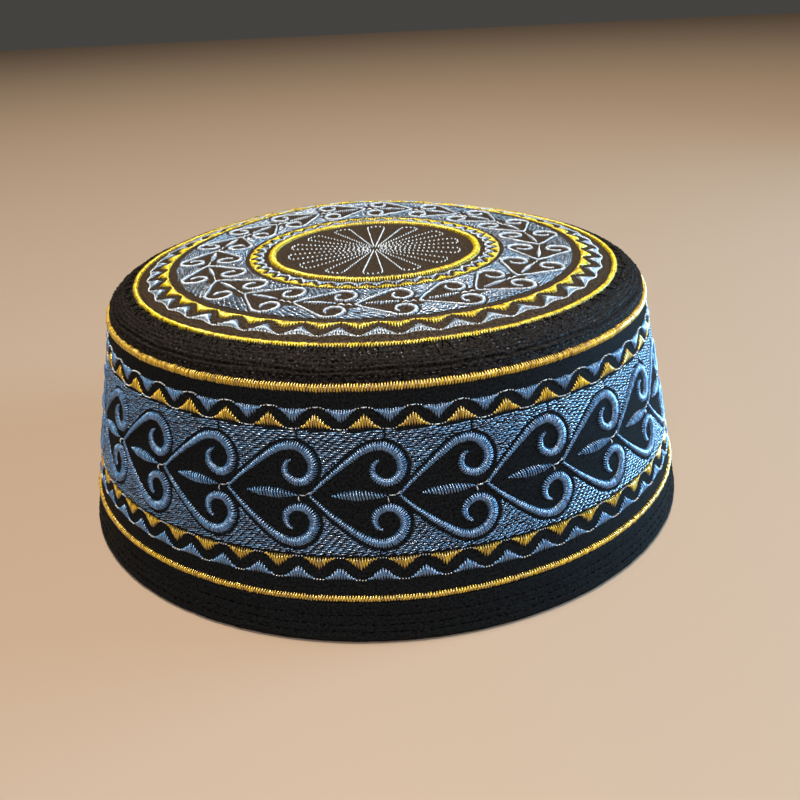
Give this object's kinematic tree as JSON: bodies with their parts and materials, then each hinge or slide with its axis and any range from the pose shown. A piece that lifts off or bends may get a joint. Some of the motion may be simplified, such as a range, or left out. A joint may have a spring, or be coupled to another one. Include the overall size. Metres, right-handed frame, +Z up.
{
  "type": "embroidered prayer cap",
  "caption": "Round stiff prayer cap with a flared embroidered wall, a quilted shoulder, a domed embroidered top and raised gold lines, open below for the head.",
  "frame": {"origin": "centre of the hem's bottom edge, on the surface that the cap stands on", "axes": "+Z up through the middle of the crown, -Y towards the cap's front"},
  "size_m": [0.1912, 0.1902, 0.0774],
  "materials": {
    "embroidered_crown": "black satin cloth under pale blue and gold thread",
    "embroidered_wall": "black satin cloth under steel blue thread",
    "black_quilting": "black satin cloth in stitched rows",
    "gold_thread": "glossy gold-yellow satin stitch"
  },
  "bodies": {
    "root": {"crown_panel": "embroidered_crown", "shoulder_band": "black_quilting", "side_wall": "embroidered_wall", "hem_band": "black_quilting", "crown_gold_line": "gold_thread", "medallion_gold_line": "gold_thread", "wall_upper_gold_line": "gold_thread", "wall_lower_gold_line": "gold_thread"}
  },
  "joints": []
}
